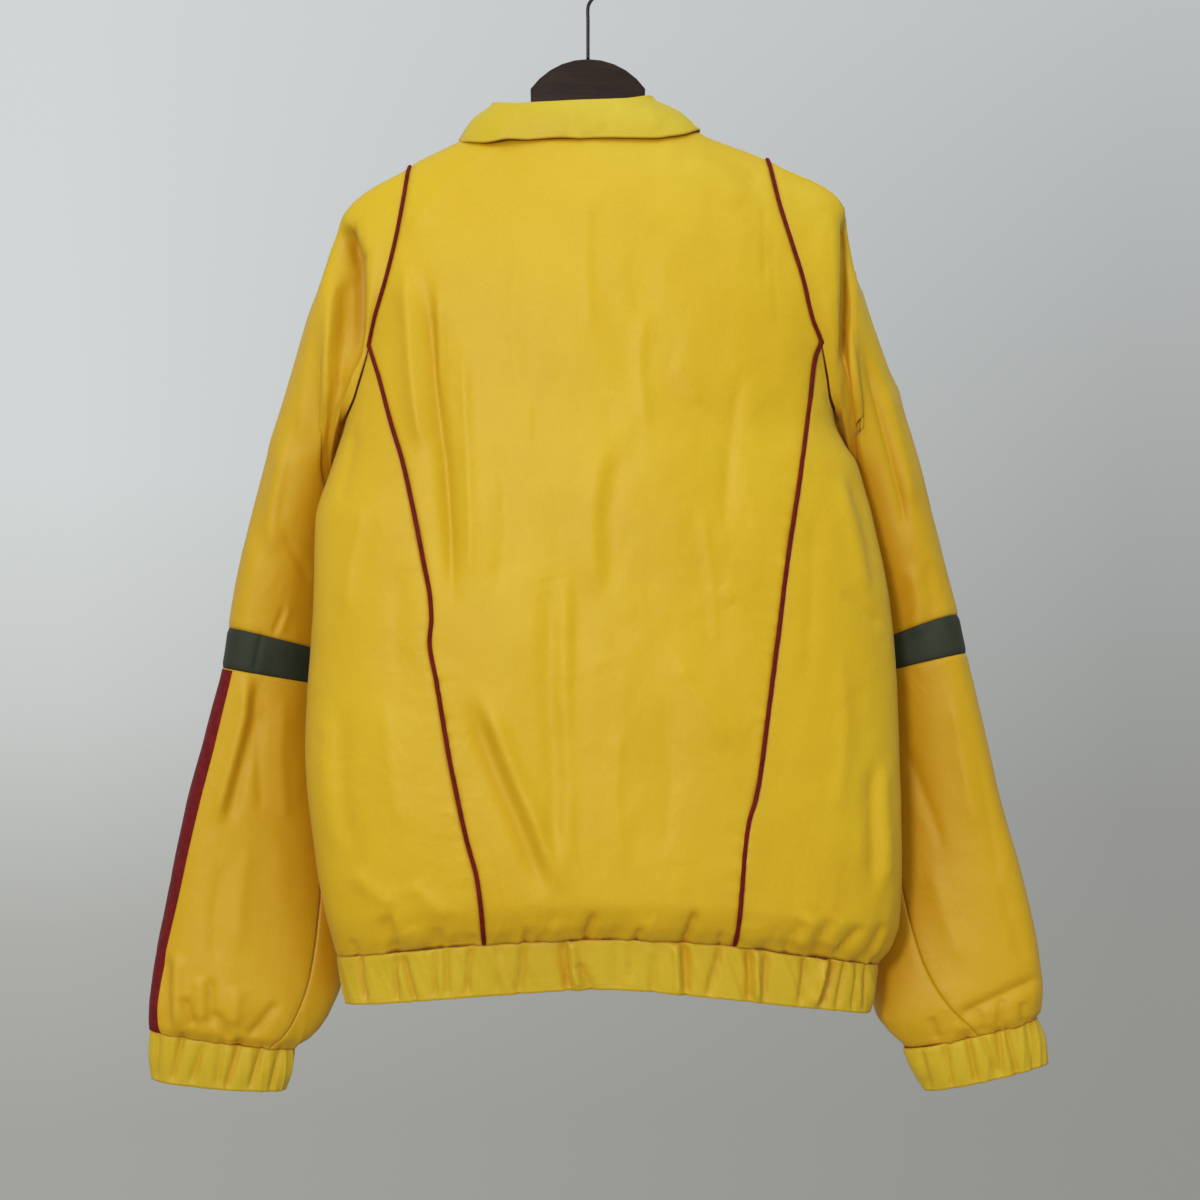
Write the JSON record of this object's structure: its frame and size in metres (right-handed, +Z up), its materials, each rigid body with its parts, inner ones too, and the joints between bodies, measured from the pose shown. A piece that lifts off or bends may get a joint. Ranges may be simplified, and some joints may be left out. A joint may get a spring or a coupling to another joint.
{
  "type": "windbreaker on a wooden hanger, seen from the back",
  "caption": "Yellow blouson windbreaker hung on a dark wooden hanger: turned-down collar, red-piped panels, dark sleeve bands, elastic hem and cuffs.",
  "frame": {"origin": "the inside top of the hanger's hook, where a rail touches it", "axes": "+Z up, +Y towards the garment's front, -Y towards its back, +X to the wearer's right"},
  "size_m": [0.763, 0.1791, 0.9712],
  "materials": {
    "yellow": "satin",
    "dark_band": "satin",
    "piping_red": "satin",
    "stripe_red": "satin",
    "zip_dark": "matte",
    "metal": "satin",
    "wood": "satin",
    "black_wire": "gloss"
  },
  "bodies": {
    "jacket": {"back_centre": "yellow", "side_back_L": "yellow", "side_back_R": "yellow", "front_L": "yellow", "front_R": "yellow", "sleeve_upper_L": "yellow", "sleeve_upper_R": "yellow", "sleeve_band_L": "dark_band", "sleeve_band_R": "dark_band", "sleeve_outer_L": "yellow", "sleeve_outer_R": "yellow", "sleeve_under_L": "yellow", "sleeve_under_R": "yellow", "cuff_L": "yellow", "cuff_R": "yellow", "collar": "yellow", "hem_band": "yellow", "zip": "zip_dark", "slider": "metal", "piping_arm_L": "piping_red", "piping_arm_R": "piping_red", "piping_back_L": "piping_red", "piping_back_R": "piping_red", "stripe_L": "stripe_red", "hanger": "wood", "hook": "black_wire"},
    "zip_pull": {"pull": "metal"}
  },
  "joints": [
    {"name": "pull_hinge", "type": "hinge", "parent": "jacket", "child": "zip_pull", "pos_m": [-0.01217, 0.05416, -0.23262], "axis": [1, 0, 0], "range_deg": [0, 150]}
  ]
}
